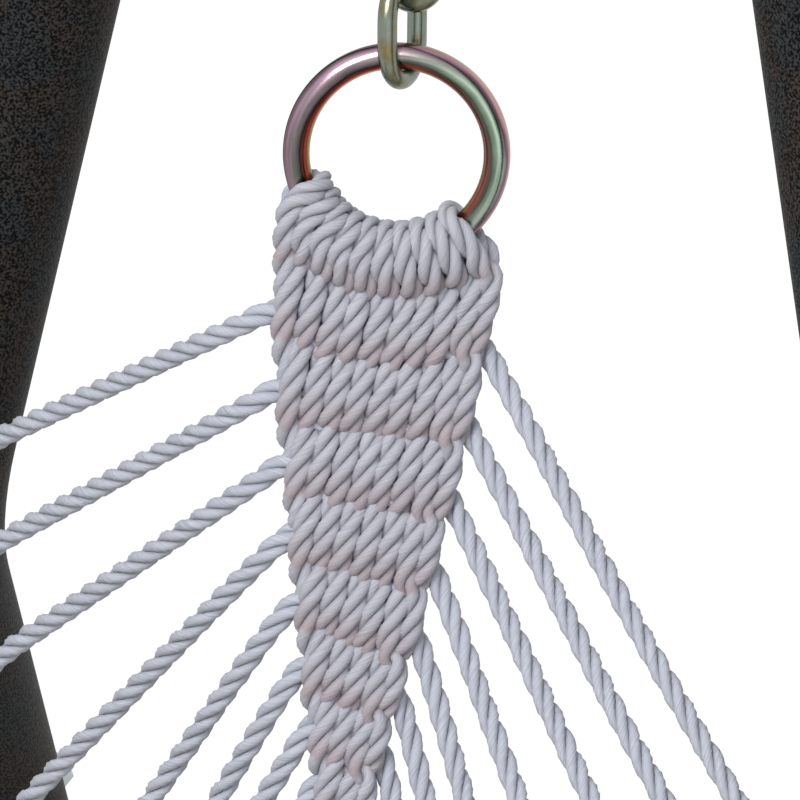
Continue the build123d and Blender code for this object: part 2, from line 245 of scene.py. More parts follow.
tree, given = new_tree("joint_bolts", bolt_sizes)
rim = add(tree, "ShaderNodeMath", {0: given["Corner"], 1: crown_share}, operation="MULTIPLY")
joined = add(tree, "GeometryNodeJoinGeometry")
for height, way in (("Head", 1), ("Nut", -1)):
    block = add(
        tree,
        "ShaderNodeMath",
        {0: given[height], 1: given["Chamfer"]},
        operation="SUBTRACT",
    ).outputs[0]
    prism = add(
        tree,
        "GeometryNodeMeshCylinder",
        {"Vertices": hex_sides, "Radius": given["Corner"], "Depth": block},
    )
    crown = add(
        tree,
        "GeometryNodeMeshCone",
        {
            "Vertices": hex_sides,
            "Radius Top": rim.outputs[0],
            "Radius Bottom": given["Corner"],
            "Depth": given["Chamfer"],
        },
    )
    middle = add(
        tree,
        "ShaderNodeMath",
        {0: block, 1: 0.5, 2: given["Grip"]},
        operation="MULTIPLY_ADD",
    )
    top = add(tree, "ShaderNodeMath", {0: block, 1: given["Grip"]}, operation="ADD")
    for shape, level in ((prism, middle), (crown, top)):
        signed = add(tree, "ShaderNodeMath", {0: level.outputs[0], 1: way}, operation="MULTIPLY")
        lift = add(tree, "ShaderNodeCombineXYZ", {"Z": signed.outputs[0]})
        moved = add(
            tree,
            "GeometryNodeTransform",
            {"Geometry": shape.outputs["Mesh"], "Translation": lift.outputs[0]},
        )
        if way < 0 and shape is crown:
            moved.inputs["Rotation"].default_value = (math.pi, 0, 0)
        tree.links.new(moved.outputs["Geometry"], joined.inputs["Geometry"])
full = add(
    tree,
    "ShaderNodeMath",
    {0: given["Grip"], 1: 2.0, 2: given["Tail"]},
    operation="MULTIPLY_ADD",
)
shank = add(
    tree,
    "GeometryNodeMeshCylinder",
    {"Vertices": shank_sides, "Radius": given["Shank"], "Depth": full.outputs[0]},
)
sunk = add(tree, "ShaderNodeMath", {0: given["Tail"], 1: -0.5}, operation="MULTIPLY")
drop = add(tree, "ShaderNodeCombineXYZ", {"Z": sunk.outputs[0]})
shank = add(
    tree,
    "GeometryNodeTransform",
    {"Geometry": shank.outputs["Mesh"], "Translation": drop.outputs[0]},
)
tree.links.new(shank.outputs["Geometry"], joined.inputs["Geometry"])
axis = add(tree, "GeometryNodeInputNamedAttribute", {"Name": "axis"}, data_type="FLOAT_VECTOR")
aim = add(
    tree,
    "FunctionNodeAlignRotationToVector",
    {"Vector": axis.outputs["Attribute"]},
    axis="Z",
)
placed = add(
    tree,
    "GeometryNodeInstanceOnPoints",
    {
        "Points": given["Geometry"],
        "Instance": joined.outputs["Geometry"],
        "Rotation": aim.outputs["Rotation"],
    },
)
end_tree(tree, placed, zinc)

spots, axes = [], []
for turn in (Matrix.Identity(4), half_turn):
    for side in (1, -1):
        for bolt, way in ((leg_bolt, Vector((1, 0, 0))), (rail_bolt, Vector((0, 1, 0)))):
            spots.append(turn @ Vector((bolt.x, side * bolt.y, bolt.z)))
            axes.append(turn.to_3x3() @ Vector((way.x, side * way.y, way.z)))
joints = bpy.data.meshes.new("bolt_places")
joints.from_pydata(spots, [], [])
joints.attributes.new("axis", "FLOAT_VECTOR", "POINT").data.foreach_set("vector", np.array(axes).ravel())
bolts = show("joint_bolt_set", grow(joints, tree, bolt_sizes))
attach(bolts, "stand")
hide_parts("joint_bolts", "joint_nuts")

# Chain
# Nine oval links of 5.2 mm wire at each end, bent and butted, yellow-tinged zinc. The last one
# hangs in the hook and the first goes round the ring.
link_wire = 0.0052
link_inner_length = 0.021
link_inner_width = 0.0112
link_steps = 64
link_sides = 20
link_sizes = {
    "Links": 9,
    "Pitch": 0.0207,
    "First": 0.0327,
    "Bend": (link_inner_width + link_wire) / 2,
    "Straight": (link_inner_length - link_inner_width) / 2,
    "Oval": 0.4,
    "Wire": link_wire / 2,
    "Lean": math.radians(6),
    "Slide": -0.0018,
}
# Links follow each other at a little less than a quarter turn, so that the last is square.
first_turn = math.radians(105)
turn_step = math.radians(90 - 15 / 8)
hair = 1e-6
slope = math.radians(50)
ring_centre = Vector((1.39853, 0, 1.11415))
side_way = Vector((0, -1, 0))
rise = Vector((-math.sin(slope), 0, math.cos(slope)))
up_chain = rise.cross(side_way)
chain_grey = "#7c857b"
chain_straw = "#7d6a3d"
chain_cloud = 1 / 110

# Zinc with a trace of yellow passivation: grey-green wire with straw stains.
chain_zinc, tree, shader = new_finish("tinged_zinc_wire")
place = add(tree, "ShaderNodeTexCoord").outputs["Object"]
cloud = add(
    tree,
    "ShaderNodeTexNoise",
    {"Vector": place, "Scale": 1 / chain_cloud, "Detail": 5.0, "Roughness": 0.6},
)
stain = add(
    tree,
    "ShaderNodeMapRange",
    {"Value": cloud.outputs["Fac"], "From Min": 0.5, "From Max": 0.68},
)
chain_tint = add(
    tree,
    "ShaderNodeMix",
    {0: stain.outputs["Result"], 6: linear(chain_grey), 7: linear(chain_straw)},
    data_type="RGBA",
)
tree.links.new(chain_tint.outputs[2], shader.inputs["Base Color"])
shader.inputs["Metallic"].default_value = 1.0
shader.inputs["Roughness"].default_value = 0.27

# A circle is pulled out to an oval: its halves move apart, and its sides bow by the share Oval.
tree, given = new_tree("chain_links", link_sizes)
oval = add(
    tree,
    "GeometryNodeCurvePrimitiveCircle",
    {"Resolution": link_steps, "Radius": given["Bend"]},
)
spot = add(tree, "ShaderNodeSeparateXYZ", {0: add(tree, "GeometryNodeInputPosition").outputs[0]})
upper = add(tree, "ShaderNodeMath", {0: spot.outputs["Y"], 1: -hair}, operation="GREATER_THAN")
sign = add(
    tree,
    "ShaderNodeMath",
    {0: upper.outputs[0], 1: 2.0, 2: -1.0},
    operation="MULTIPLY_ADD",
)
share = add(tree, "ShaderNodeMath", {0: spot.outputs["Y"], 1: given["Bend"]}, operation="DIVIDE")
bowed = add(
    tree,
    "ShaderNodeMix",
    {0: given["Oval"], 2: sign.outputs[0], 3: share.outputs[0]},
    data_type="FLOAT",
)
push = add(
    tree,
    "ShaderNodeMath",
    {0: bowed.outputs[0], 1: given["Straight"]},
    operation="MULTIPLY",
)
stretch = add(tree, "ShaderNodeCombineXYZ", {"Y": push.outputs[0]})
oval = add(
    tree,
    "GeometryNodeSetPosition",
    {"Geometry": oval.outputs["Curve"], "Offset": stretch.outputs[0]},
)
section = add(
    tree,
    "GeometryNodeCurvePrimitiveCircle",
    {"Resolution": link_sides, "Radius": given["Wire"]},
)
link = add(
    tree,
    "GeometryNodeCurveToMesh",
    {"Curve": oval.outputs["Geometry"], "Profile Curve": section.outputs["Curve"]},
)
start = add(tree, "ShaderNodeCombineXYZ", {"Y": given["First"]})
step = add(tree, "ShaderNodeCombineXYZ", {"Y": given["Pitch"]})
row = add(
    tree,
    "GeometryNodeMeshLine",
    {"Count": given["Links"], "Start Location": start.outputs[0], "Offset": step.outputs[0]},
)
index = add(tree, "GeometryNodeInputIndex").outputs[0]
quarter = add(
    tree,
    "ShaderNodeMath",
    {0: index, 1: turn_step, 2: first_turn},
    operation="MULTIPLY_ADD",
)
is_first = add(tree, "ShaderNodeMath", {0: index, 1: 0.5}, operation="LESS_THAN").outputs[0]
lean = add(tree, "ShaderNodeMath", {0: is_first, 1: given["Lean"]}, operation="MULTIPLY")
turned = add(tree, "ShaderNodeCombineXYZ", {"Y": quarter.outputs[0], "Z": lean.outputs[0]})
slid = add(tree, "ShaderNodeMath", {0: is_first, 1: given["Slide"]}, operation="MULTIPLY")
slide = add(tree, "ShaderNodeCombineXYZ", {"X": slid.outputs[0]})
row = add(
    tree,
    "GeometryNodeSetPosition",
    {"Geometry": row.outputs["Mesh"], "Offset": slide.outputs[0]},
)
placed = add(
    tree,
    "GeometryNodeInstanceOnPoints",
    {
        "Points": row.outputs["Geometry"],
        "Instance": link.outputs["Mesh"],
        "Rotation": turned.outputs[0],
    },
)
end_tree(tree, placed, chain_zinc)


def at_both_ends(names, made):
    """The piece at the front and its copy turned half round to the back, on the hammock."""
    back = made.copy()
    back.transform(half_turn)
    pieces = [(end, show(names.format(end), mesh)) for end, mesh in (("front", made), ("back", back))]
    for _, piece in pieces:
        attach(piece, "hammock")
    return pieces


made = grow(bpy.data.meshes.new("chain_links"), tree, link_sizes)
made.shade_smooth()
chain_frame = Matrix((side_way, up_chain, rise)).transposed().to_4x4()
chain_frame.translation = ring_centre
made.transform(chain_frame)
for end, chain in at_both_ends("chain_links_{}", made):
    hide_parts(f"chain_{end}", f"end_link_{end}")

# Ring
# Welded steel ring of 7 mm wire with a yellow chromate over zinc, whose thin film tints it straw, pink
# and green, with painted highlights and painted shade in bands across the wire. It hangs in the chain
# and carries the clew.
ring_r = 0.026
ring_wire_r = 0.0035
ring_twist = math.radians(42)
ring_steps = 192
wire_steps = 32
across = side_way * math.cos(ring_twist) - rise * math.sin(ring_twist)
outward = rise * math.cos(ring_twist) + side_way * math.sin(ring_twist)
# Places round the wire and two sets of colours there, chromate tints with painted highlights and painted
# shade: outer rim, first painted highlight, line, second painted highlight, painted shade, inner painted
# highlight, inner rim and the back of the wire.
band_places = (0.06, 0.15, 0.21, 0.29, 0.39, 0.46, 0.56, 0.62)
left_film_and_painted_light = ("#4d4824", "#6b5558", "#c9a6bb", "#a8979c", "#22161f", "#d0604a", "#b8a85a", "#46422f")
right_film_and_painted_light = ("#a59a5c", "#c79aa0", "#4d3a45", "#a3bda6", "#4f5c4c", "#7d4c50", "#7a7442", "#46422f")
# Along the ring, from its foot over the right and the top: the share of the right set of colours, and
# how bright the bands are.
right_share = (0.4, ((0.2, 0.75), (0.32, 1.0), (0.44, 0.7), (0.54, 0.05), (0.68, 0.0), (0.8, 0.3)))
brightness = (0.7, ((0.25, 1.0), (0.5, 1.0), (0.62, 0.75), (0.78, 0.55)))
drift_scale = (7.0, 1.2, 1.0)
drift_width = 0.16
streak_scale = (14.0, 26.0, 1.0)

# Yellow chromate over zinc: glossy metal with a thin film tint and painted highlights and painted shade,
# in bands that drift along the wire.
film, tree, shader = new_finish("yellow_chromate_zinc")
uv = add(tree, "ShaderNodeUVMap", uv_map="wire").outputs["UV"]
split = add(tree, "ShaderNodeSeparateXYZ", {0: uv})
drift_at = add(tree, "ShaderNodeMapping", {"Vector": uv, "Scale": drift_scale})
drift = add(
    tree,
    "ShaderNodeTexNoise",
    {"Vector": drift_at.outputs[0], "Scale": 1.0, "Detail": 4.0},
)
band = add(
    tree,
    "ShaderNodeMath",
    {0: drift.outputs["Fac"], 1: drift_width, 2: split.outputs["Y"]},
    operation="MULTIPLY_ADD",
)
# Each set of colours is chromate tint with painted highlights and painted shade across the wire.
film_and_light_tints = []
for colours in (left_film_and_painted_light, right_film_and_painted_light):
    ramp = add(tree, "ShaderNodeValToRGB", {"Fac": band.outputs[0]})
    for position, code in zip(band_places, colours):
        ramp.color_ramp.elements.new(position).color = linear(code)
    for place_at in (0, -1):
        ramp.color_ramp.elements[place_at].color = linear(colours[-1])
    film_and_light_tints.append(ramp.outputs["Color"])
levels = []
for foot_level, stops in (right_share, brightness):
    ramp = add(tree, "ShaderNodeValToRGB", {"Fac": split.outputs["X"]})
    for place_at in (0, -1):
        ramp.color_ramp.elements[place_at].color = (foot_level, foot_level, foot_level, 1)
    for position, level in stops:
        ramp.color_ramp.elements.new(position).color = (level, level, level, 1)
    levels.append(ramp.outputs["Color"])
film_and_light_mix = add(
    tree,
    "ShaderNodeMix",
    {0: levels[0], 6: film_and_light_tints[0], 7: film_and_light_tints[1]},
    data_type="RGBA",
)
streak_at = add(tree, "ShaderNodeMapping", {"Vector": uv, "Scale": streak_scale})
streak = add(
    tree,
    "ShaderNodeTexNoise",
    {"Vector": streak_at.outputs[0], "Scale": 1.0, "Detail": 4.0},
)
streak_level = add(
    tree,
    "ShaderNodeMapRange",
    {
        "Value": streak.outputs["Fac"],
        "From Min": 0.3,
        "From Max": 0.7,
        "To Min": 0.7,
        "To Max": 1.1,
    },
)
film_and_light_tint = film_and_light_mix
for level in (levels[1], streak_level.outputs["Result"]):
    film_and_light_tint = add(
        tree,
        "ShaderNodeMix",
        {0: 1.0, 6: film_and_light_tint.outputs[2], 7: level},
        data_type="RGBA",
        blend_type="MULTIPLY",
    )
tree.links.new(film_and_light_tint.outputs[2], shader.inputs["Base Color"])
shader.inputs["Metallic"].default_value = 1.0
shader.inputs["Roughness"].default_value = 0.24

round_ring = np.arange(ring_steps) * 2 * math.pi / ring_steps - math.pi / 2
round_wire = np.arange(wire_steps) * 2 * math.pi / wire_steps
reach = ring_r + ring_wire_r * np.cos(round_wire)[None, :]
ring_x = reach * np.cos(round_ring)[:, None]
ring_y = reach * np.sin(round_ring)[:, None]
ring_z = np.broadcast_to(ring_wire_r * np.sin(round_wire)[None, :], ring_x.shape)
spots = ring_x[..., None] * np.array(across) + ring_y[..., None] * np.array(up_chain)
spots = spots + ring_z[..., None] * np.array(outward) + np.array(ring_centre)
faces, face_uvs = [], []
for i in range(ring_steps):
    for j in range(wire_steps):
        corners = ((i, j), (i + 1, j), (i + 1, j + 1), (i, j + 1))
        faces.append([a % ring_steps * wire_steps + b % wire_steps for a, b in corners])
        face_uvs += [(a / ring_steps, b / wire_steps) for a, b in corners]
made = bpy.data.meshes.new("ring")
made.from_pydata(spots.reshape(-1, 3).tolist(), [], faces)
made.uv_layers.new(name="wire").data.foreach_set("uv", np.array(face_uvs, np.float32).ravel())
made.shade_smooth()
made.materials.append(film)
for end, ring in at_both_ends("steel_ring_{}", made):
    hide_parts(f"ring_{end}")

# Clew and nettle ropes
# Ten 7 mm three-strand cotton ropes at each end, right-hand laid. Each is doubled over the ring,
# its legs are woven into the tapering clew and leave it to the sides, then run through the bar.
rope_d = 0.007
lay = 0.0225
rope_count = 10
leg_count = 2 * rope_count
middle_leg = (leg_count - 1) / 2
woven_share = 0.97
taut_share = 0.88
strand_sides = 8
# The bar and its holes, from the outermost one inwards, and the hem behind it.
bar_centre = Vector((1.0, 0, 0.6392))
bar_slope = math.radians(34)
bar_reach = 0.030
first_hole = 0.6175
hole_step = 0.065
bed_end_slope = math.radians(20.99)
hem_gap = 0.050
# The clew, in millimetres from the centre of the ring: rows that get shorter and narrower, the
# seams between them, and the layers of the weave.
mm = 0.001
rows = 10
first_foot = 52
row_height = 20.6
row_shrink = 0.92
clew_half = 27.5
clew_taper = 3.1
tip_half = 5.5
wrap_pitch = 2.85
least_pitch = 2.4
wrap_seam = (37.5, 5.0, 20)
first_seam = (56.0, 3.0, 18)
seam_gap = 1.8
layer = 3.4
float_lean = 1.7
float_sway = 0.35
float_shift = 0.9
wrap_first = 207.0
wrap_step = 12.0
wrap_points = ((-5.5, 6.0), (4.0, 6.6))
# Where the legs leave the clew, and how far their free ends keep their first direction.
tip_beside = 3.8
left_stub = 12
left_spread = 12
left_run = 0.130
right_run = 0.090
flatten = 0.7
ease_run = 0.080
route_points = 8
left_moves = ((-1, 2), (-4, 3), (-6, 2), (2, -5), (9, -7), (7, -4), (-8, 5))
right_moves = ((9, 3), (8, 4), (6, 3), (0, 0), (-3, -4), (-4, -4), (-4, -4))


def row_foot(row):
    """Depth below the ring centre of the lower edge of a woven row, in millimetres."""
    return first_foot + row_height * row - row_shrink * row * (row - 1) / 2


def row_half_width(row):
    """Half the width of a woven row, in millimetres."""
    return max(tip_half, clew_half - clew_taper * row)


def seam(row, x):
    """Depth where the floats of one row end and those of the next begin; -1 is the wraps."""
    if row < 1:
        depth, lift, out = wrap_seam if row < 0 else first_seam
        return depth - lift * (x / out) ** 2
    return row_foot(row) + seam_gap + min(0.3, 0.02 * row * row) * x


def in_clew(x, depth, z):
    """Place in the frame of a point of the clew given in millimetres."""
    return ring_centre + (across * x - up_chain * depth + outward * z) * mm


def leg_x(leg, row):
    """Place across the clew of one leg in a row."""
    pitch = wrap_pitch
    if row >= 0:
        pitch = max(least_pitch, (row_half_width(row) - 3) / max(1.5, 8.5 - row))
    return (leg - middle_leg) * pitch


def nettle(side, index):
    """Route from the clew's edge through the bar to the hem; side 1 is left."""
    hole = bar_centre + Vector((0, side * (first_hole - hole_step * index), 0))
    inside = Vector((-math.cos(bar_slope), 0, -math.sin(bar_slope))) * bar_reach
    to_hem = Vector((-math.cos(bed_end_slope), 0, -math.sin(bed_end_slope))) * hem_gap
    if index == rows - 1:
        depth = row_foot(index) + 1.175
        leave = in_clew(-side * tip_beside, depth, 0)
        turn = in_clew(-side * tip_beside, depth + 8, 0)
    elif side > 0:
        beside = row_half_width(index) + 0.3
        depth = row_foot(index) - 8
        leave = in_clew(-beside, depth, 0)
        fall = math.radians(min(64, 30 + 5.5 * index))
        turn = in_clew(-beside - left_stub * math.cos(fall), depth + left_stub * math.sin(fall), 0)
    else:
        beside = row_half_width(index) - 1.5
        depth = row_foot(index) - 3
        leave = in_clew(beside, depth, -2.5)
        turn = in_clew(beside + 4, depth + 5, -1.5)
    spread = left_spread * max(0, 1 - index / 7) if side > 0 else 0
    way = (hole - inside - turn).normalized()
    way.rotate(Quaternion(rise, math.radians(-spread)))
    settle = turn + way * (left_run if side > 0 else right_run)
    settle -= rise * ((settle - ring_centre).dot(rise) * flatten)
    moves = left_moves if side > 0 else right_moves
    if index < len(moves):
        settle += (side_way * moves[index][0] + up_chain * moves[index][1]) * mm
    eased = settle + (hole - inside - settle).normalized() * ease_run
    through_bar = [hole - inside, hole + inside, hole + inside + to_hem]
    return [leave, turn, turn.lerp(settle, 0.6), settle, eased] + through_bar


def leg_route(leg):
    """Control points of one leg from the ring down through the weave and out to the hem."""
    rope = leg // 2
    front = 1 if leg % 2 == 0 else -1
    angle = math.radians(wrap_first + wrap_step * rope)
    spots = []
    for beyond, lift in wrap_points:
        reach = ring_r / mm + beyond
        spots.append((math.cos(angle) * reach, -math.sin(angle) * reach, front * lift))
    last = leg if leg < rope_count else leg_count - 1 - leg
    side = -1 if leg < rope_count else 1
    x = leg_x(leg, -1)
    spots.append((x, seam(-1, x) - 2.0, front * layer))
    for row in range(last):
        x = leg_x(leg, row)
        z = layer * front * (-1 if row % 2 == 0 else 1)
        if leg == leg_count - 2 - row:
            x, z = x + 2.0, 0.75 * layer
        hand = random.Random(100 * leg + row)
        x += hand.uniform(-float_sway, float_sway)
        uneven = hand.uniform(-float_shift, float_shift)
        top, foot = seam(row - 1, x) + uneven, seam(row, x) + uneven
        trim = 0.05 * (foot - top)
        lean = float_lean * (1 if z > 0 else -1)
        spots.append((x + lean, top + trim, z))
        spots.append((x - lean, foot - trim, z))
    foot = row_foot(last)
    edge = row_half_width(last) - 2.6
    if last == rows - 1:
        spots.append((leg_x(leg, last), foot - 12, -2.5 * side))
        spots.append((-side * tip_beside, foot - 3, 0))
    elif side < 0:
        spots.append((-edge, foot - 8, -1.5))
        spots.append((-edge + 0.5, foot + 2.5, 0))
        spots.append((-edge + 7, foot + 0.5, 0))
        spots.append((edge - 3, foot - 1, 0))
    else:
        spots.append((edge, foot - 15, -1.5))
        spots.append((edge - 6, foot - 12, 0))
        spots.append((-edge + 3, foot - 8.2, 0))
    return [in_clew(*spot) for spot in spots] + nettle(side, last)


def along(points):
    """Points read along the NURBS spline through a route's control points."""
    line = bpy.data.curves.new("route", "CURVE")
    line.dimensions = "3D"
    spline = line.splines.new("NURBS")
    spline.points.add(len(points) - 1)
    for point, spot in zip(spline.points, points):
        point.co = (*spot, 1)
    spline.order_u = 3
    spline.use_endpoint_u = True
    spline.resolution_u = 16
    read = plain(show("route", line))
    spots = np.array([v.co for v in read.vertices])
    bpy.data.meshes.remove(read)
    return spots


def run_along(line):
    """Distance of each point of a line from its start."""
    return np.concatenate([[0], np.cumsum(np.linalg.norm(np.diff(line, axis=0), axis=1))])


def unit(ways):
    """Directions made one long."""
    return ways / np.linalg.norm(ways, axis=1)[:, None]


def strands(name, line, scale, sides):
    """Mesh of three strands laid round a line, with UVs along and round each strand."""
    count = len(line)
    length = run_along(line)
    way = unit(np.gradient(line, axis=0))
    across_line = np.zeros_like(line)
    across_line[0] = unit(np.cross(way[:1], (0.3, 0.5, 0.8)))[0]
    for i in range(1, count):
        carried = across_line[i - 1] - way[i] * (across_line[i - 1] @ way[i])
        across_line[i] = carried / np.linalg.norm(carried)
    beside_line = np.cross(way, across_line)
    strand_r = rope_d / 4 * scale
    turns = np.arange(sides) * 2 * math.pi / sides
    rings = np.arange(count - 1)[:, None] * sides
    here = rings + np.arange(sides)
    beside = rings + (np.arange(sides) + 1) % sides
    quad = np.stack([here, beside, beside + sides, here + sides], -1)
    verts, faces = [], []
    for strand in range(3):
        angle = 2 * math.pi * (length / lay + strand / 3)
        core = across_line * np.cos(angle)[:, None] + beside_line * np.sin(angle)[:, None]
        centre = line + core * strand_r[:, None]
        forward = unit(np.gradient(centre, axis=0))
        inward = unit(-core + forward * np.sum(core * forward, axis=1)[:, None])
        sideways = np.cross(forward, inward)
        ring = inward[:, None, :] * np.cos(turns)[None, :, None]
        ring = ring + sideways[:, None, :] * np.sin(turns)[None, :, None]
        verts.append((centre[:, None, :] + ring * strand_r[:, None, None]).reshape(-1, 3))
        faces.append((quad + strand * count * sides).reshape(-1, 4))
    u0 = np.broadcast_to(length[:-1, None], (count - 1, sides))
    u1 = np.broadcast_to(length[1:, None], (count - 1, sides))
    v0 = np.broadcast_to(np.arange(sides) / sides, (count - 1, sides))
    v1 = v0 + 1 / sides
    corners = [np.stack(pair, -1) for pair in ((u0, v0), (u0, v1), (u1, v1), (u1, v0))]
    uvs = np.tile(np.stack(corners, 2).reshape(-1, 2), (3, 1)).astype(np.float32)
    mesh = bpy.data.meshes.new(name)
    mesh.from_pydata(np.concatenate(verts).tolist(), [], np.concatenate(faces).tolist())
    mesh.uv_layers.new(name="strand").data.foreach_set("uv", uvs.ravel())
    mesh.shade_smooth()
    return mesh


yarn_dull = "#acb0be"
yarn_pale = "#d3d7e2"
# Painted warm shade for the low ends of the floats and the woven part of the clew.
painted_shade_tint = "#ab8f8e"
groove_shade = "#75757f"
yarn_turn_length = 0.019
yarn_scale = (60.0, 26.0, 1.0)

# Laid cotton: soft and pale, fine yarns that wind round each strand, with painted warm shade low in each
# float and lightly over the rest of the clew's front.
rope_cotton, tree, shader = new_finish("laid_cotton_rope")
uv = add(tree, "ShaderNodeUVMap", uv_map="strand").outputs["UV"]
split = add(tree, "ShaderNodeSeparateXYZ", {0: uv})
yarn_turn = add(
    tree,
    "ShaderNodeMath",
    {0: split.outputs["X"], 1: -1 / yarn_turn_length, 2: split.outputs["Y"]},
    operation="MULTIPLY_ADD",
)
yarn_at = add(tree, "ShaderNodeCombineXYZ", {"X": split.outputs["X"], "Y": yarn_turn.outputs[0]})
yarn_scaled = add(tree, "ShaderNodeMapping", {"Vector": yarn_at.outputs[0], "Scale": yarn_scale})
yarn = add(
    tree,
    "ShaderNodeTexNoise",
    {"Vector": yarn_scaled.outputs[0], "Scale": 1.0, "Detail": 3.0},
)
yarn_level = add(
    tree,
    "ShaderNodeMapRange",
    {"Value": yarn.outputs["Fac"], "From Min": 0.3, "From Max": 0.7},
)
pale = add(
    tree,
    "ShaderNodeMix",
    {0: yarn_level.outputs["Result"], 6: linear(yarn_dull), 7: linear(yarn_pale)},
    data_type="RGBA",
)
# Painted warm shade, read from the ropes' point attribute.
painted_shade = add(tree, "ShaderNodeAttribute", attribute_name="painted_shade")
rope_tint = add(
    tree,
    "ShaderNodeMix",
    {0: painted_shade.outputs["Fac"], 6: pale.outputs[2], 7: linear(painted_shade_tint)},
    data_type="RGBA",
)
# The grooves between strands hold shade: full at 60 degrees from the rope's axis, none outside.
from_crown = add(tree, "ShaderNodeMath", {0: split.outputs["Y"], 1: 0.5}, operation="SUBTRACT")
from_crown = add(tree, "ShaderNodeMath", {0: from_crown.outputs[0]}, operation="ABSOLUTE")
groove = add(
    tree,
    "ShaderNodeMapRange",
    {"Value": from_crown.outputs[0], "From Min": 0.17, "From Max": 0.33, "To Max": 0.5},
)
shaded = add(
    tree,
    "ShaderNodeMix",
    {0: groove.outputs["Result"], 6: rope_tint.outputs[2], 7: linear(groove_shade)},
    data_type="RGBA",
)
bump = add(
    tree,
    "ShaderNodeBump",
    {"Height": yarn.outputs["Fac"], "Strength": 0.6, "Distance": 0.0003},
)
tree.links.new(shaded.outputs[2], shader.inputs["Base Color"])
tree.links.new(bump.outputs["Normal"], shader.inputs["Normal"])
shader.inputs["Roughness"].default_value = 0.9
shader.inputs["Sheen Weight"].default_value = 0.15

# Steps along a rope in the weave and outside it, and where it swells and is pinched.
woven_step = 0.0012
free_step = 0.0023
woven_margin = 0.03
swell_run = 0.010
pinch_share = 0.14
pinch_from = 0.0245
pinch_run = 0.003
# Painted warm shade: how much the whole woven part gets, and how much more low in each float.
least_painted_shade = 0.15
added_painted_shade = 0.45
for rope in range(rope_count):
    first_leg = leg_route(2 * rope)
    second_leg = leg_route(2 * rope + 1)
    read = along(first_leg[::-1] + second_leg)
    run = run_along(read)
    marks = [
        run[np.argmin(np.linalg.norm(read - np.array(leg[-route_points]), axis=1))]
        for leg in (first_leg, second_leg)
    ]
    inner = np.arange(marks[0] - woven_margin, marks[1] + woven_margin, woven_step)
    before = np.linspace(0, inner[0], int(inner[0] / free_step) + 2)[:-1]
    after = np.linspace(inner[-1], run[-1], int((run[-1] - inner[-1]) / free_step) + 2)[1:]
    at = np.concatenate([before, inner, after])
    line = np.stack([np.interp(at, run, read[:, k]) for k in range(3)], -1)
    outside = np.maximum(marks[0] - at, at - marks[1])
    scale = woven_share + (taut_share - woven_share) * np.clip(outside / swell_run, 0, 1)
    from_ring = line - np.array(ring_centre)
    pinch = (pinch_from - np.linalg.norm(from_ring, axis=1)) / pinch_run
    scale -= pinch_share * np.clip(pinch, 0, 1)
    mesh = strands(f"rope_{rope}", line, scale, strand_sides)
    x_at, depth_at = from_ring @ np.array(across) / mm, from_ring @ np.array(up_chain) / -mm
    # Painted warm shade: deepest low in each float, a little over the whole woven part, only on the
    # clew's front.
    painted_shade_share = np.zeros(len(line))
    for row in range(-1, rows):
        top, foot = seam(row - 1, x_at) if row >= 0 else 20, seam(row, x_at)
        share = (depth_at - top) / (foot - top)
        in_row = (share > 0) & (share < 1.15)
        painted_shade_share = np.where(in_row, np.clip((share - 0.45) / 0.5, 0, 1), painted_shade_share)
    facing = np.clip(from_ring @ np.array(outward) * 500, 0, 1)
    painted_shade_share = (least_painted_shade + added_painted_shade * painted_shade_share) * facing * (outside < 0)
    kept = np.tile(np.repeat(painted_shade_share, strand_sides), 3).astype(np.float32)
    mesh.attributes.new("painted_shade", "FLOAT", "POINT").data.foreach_set("value", kept)
    mesh.materials.append(rope_cotton)
    for end, cord in at_both_ends(f"rope_{{}}_{rope}", mesh):
        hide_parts(f"clew_{end}", f"nettles_left_{end}", f"nettles_right_{end}")
        turn = Matrix.Identity(4) if end == "front" else half_turn

# Spreader bars and hem dowels
# Planed hardwood bars with round edges, drilled for the ropes, and turned dowels in the hems.
# The ropes run through the bars, and the dowels lie in the sleeves of the bed. Clear varnish.
wood_dark = "#7c5230"
wood_pale = "#bd915f"
wood_grain = (240.0, 4.0, 240.0)

# Varnished hardwood: warm brown, with long grain lines along the bar and a soft gloss.
wood, tree, shader = new_finish("varnished_hardwood")
place = add(tree, "ShaderNodeTexCoord").outputs["Object"]
stretched = add(tree, "ShaderNodeMapping", {"Vector": place, "Scale": wood_grain})
grain = add(
    tree,
    "ShaderNodeTexNoise",
    {"Vector": stretched.outputs[0], "Scale": 1.0, "Detail": 6.0},
)
grain_level = add(
    tree,
    "ShaderNodeMapRange",
    {"Value": grain.outputs["Fac"], "From Min": 0.34, "From Max": 0.62},
)
wood_tint = add(
    tree,
    "ShaderNodeMix",
    {0: grain_level.outputs["Result"], 6: linear(wood_dark), 7: linear(wood_pale)},
    data_type="RGBA",
)
tree.links.new(wood_tint.outputs[2], shader.inputs["Base Color"])
shader.inputs["Roughness"].default_value = 0.35
for end in ("front", "back"):
    dress(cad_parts[f"spreader_bar_{end}"], wood)
    dress(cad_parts[f"hem_dowel_{end}"], wood)

